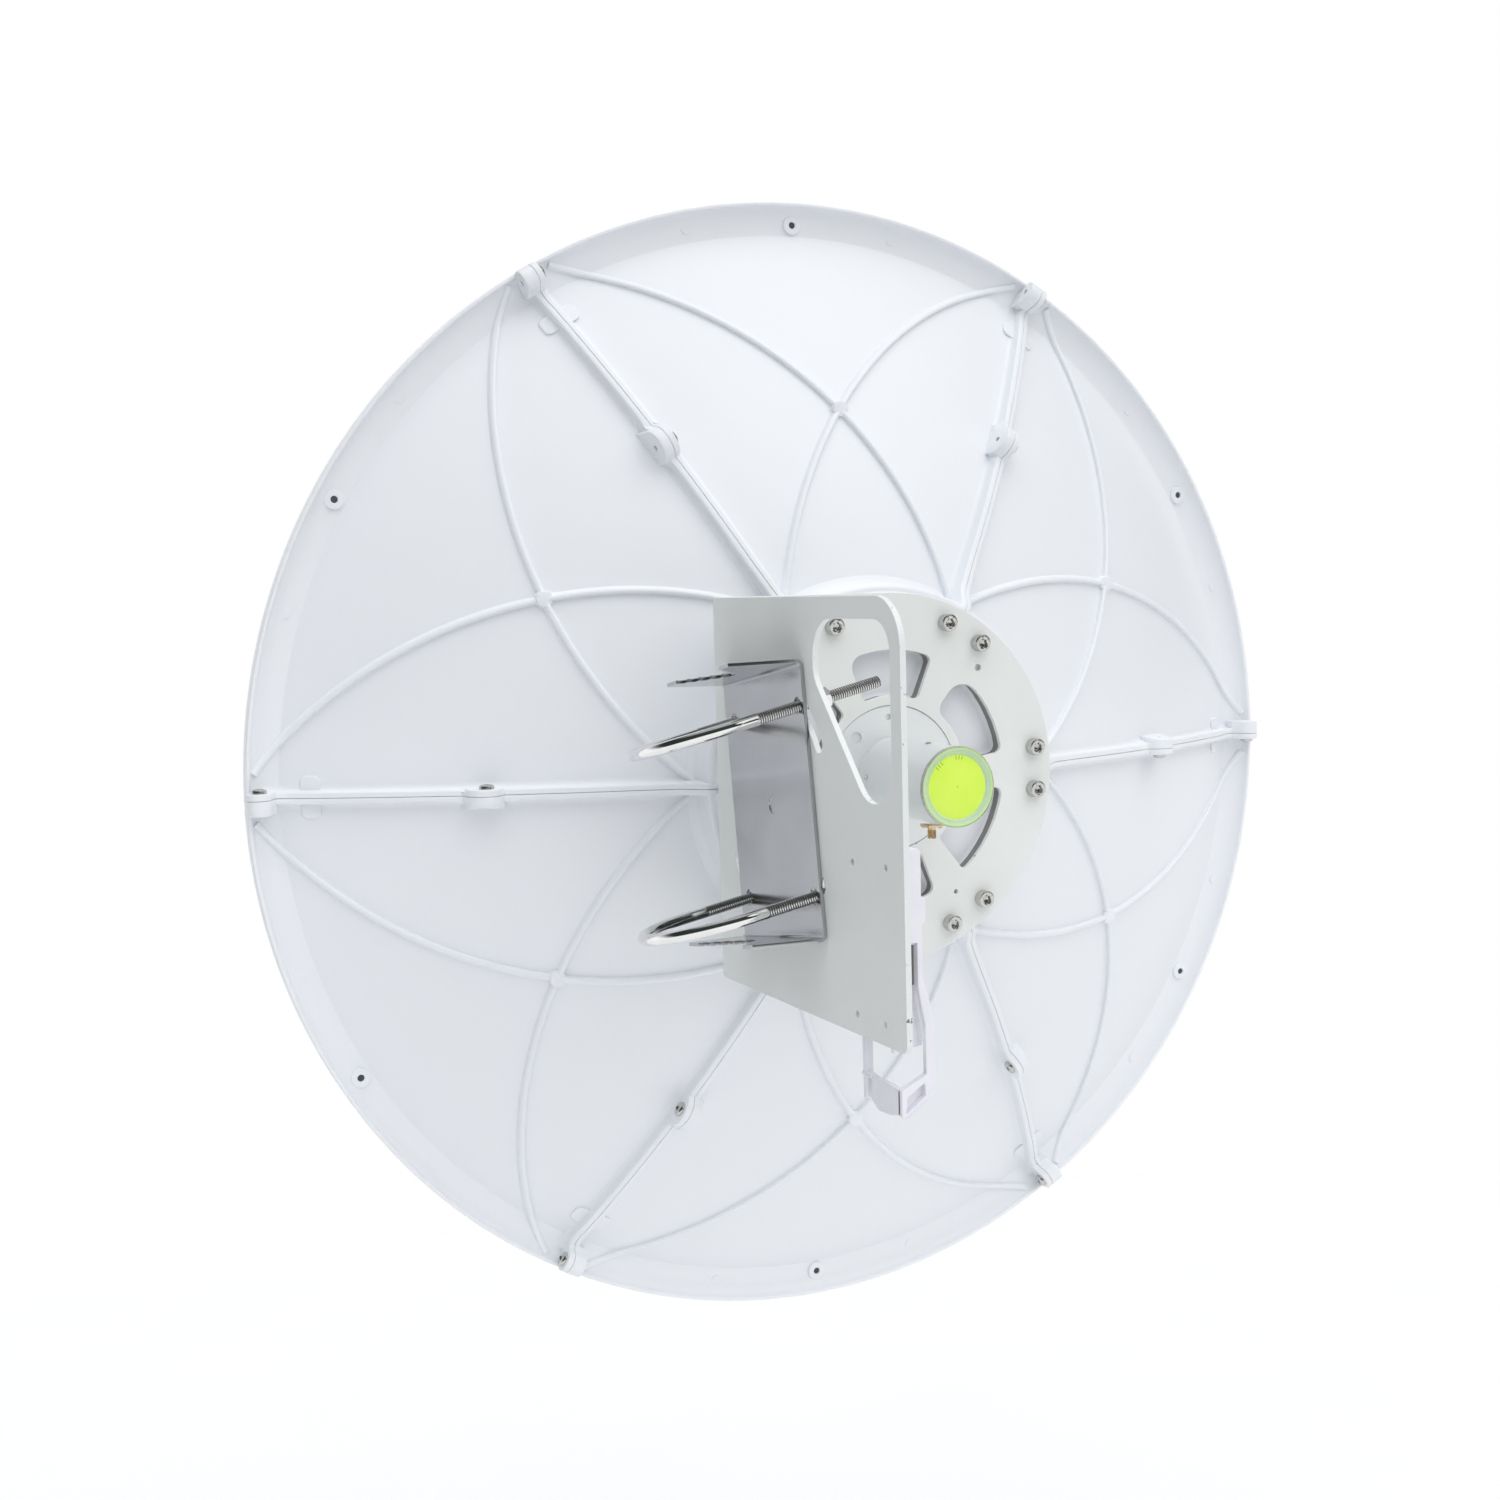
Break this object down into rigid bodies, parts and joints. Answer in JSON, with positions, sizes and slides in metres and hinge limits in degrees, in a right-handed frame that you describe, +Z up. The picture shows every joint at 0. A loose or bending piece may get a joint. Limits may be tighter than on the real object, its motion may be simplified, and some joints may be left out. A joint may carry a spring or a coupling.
{
  "type": "dish antenna",
  "caption": "Panelled parabolic dish antenna with a rear feed, held by a bent bracket on a notched mast clamp; its elevation tilts about the clamp's pivot.",
  "frame": {"origin": "on the elevation pivot, on the face of the clamp channel that looks at the mast", "axes": "+Z up along the mast, +Y the way the dish looks before its elevation is set, +X from the mast to the dish's axis"},
  "size_m": [0.9016, 0.6454, 0.8917],
  "materials": {
    "reflector_plastic": "smooth moulded, semi-gloss",
    "powder_coat": "satin powder coat",
    "stainless_sheet": "satin",
    "polished_stainless": "polished",
    "silver_paint": "satin",
    "green_cap": "matte",
    "gilt_brass": "gilt",
    "white_plastic": "smooth moulded"
  },
  "bodies": {
    "mast_clamp": {"clamp_channel": "stainless_sheet", "u_bolt_upper": "polished_stainless", "u_bolt_lower": "polished_stainless", "washer_upper_front": "polished_stainless", "washer_upper_rear": "polished_stainless", "washer_lower_front": "polished_stainless", "washer_lower_rear": "polished_stainless", "nut_upper_front": "polished_stainless", "nut_upper_rear": "polished_stainless", "nut_lower_front": "polished_stainless", "nut_lower_rear": "polished_stainless"},
    "antenna": {"dish_panel_1": "reflector_plastic", "dish_panel_2": "reflector_plastic", "dish_panel_3": "reflector_plastic", "dish_panel_4": "reflector_plastic", "dish_panel_5": "reflector_plastic", "dish_panel_6": "reflector_plastic", "mounting_bracket": "powder_coat", "hub_screw_1": "polished_stainless", "hub_screw_2": "polished_stainless", "hub_screw_3": "polished_stainless", "hub_screw_4": "polished_stainless", "hub_screw_5": "polished_stainless", "hub_screw_6": "polished_stainless", "hub_screw_7": "polished_stainless", "hub_screw_8": "polished_stainless", "hub_screw_9": "polished_stainless", "hub_screw_10": "polished_stainless", "hub_screw_11": "polished_stainless", "hub_screw_12": "polished_stainless", "feed_flange": "silver_paint", "feed_tube": "silver_paint", "feed_end_cap": "green_cap", "waveguide": "silver_paint", "sub_reflector": "white_plastic", "coax_socket_lower": "gilt_brass", "coax_socket_side": "gilt_brass", "radio_holder": "white_plastic"}
  },
  "joints": [
    {"name": "elevation", "type": "hinge", "parent": "mast_clamp", "child": "antenna", "pos_m": [0, 0, 0], "axis": [1, 0, 0], "range_deg": [-23.8, 6.2]}
  ]
}
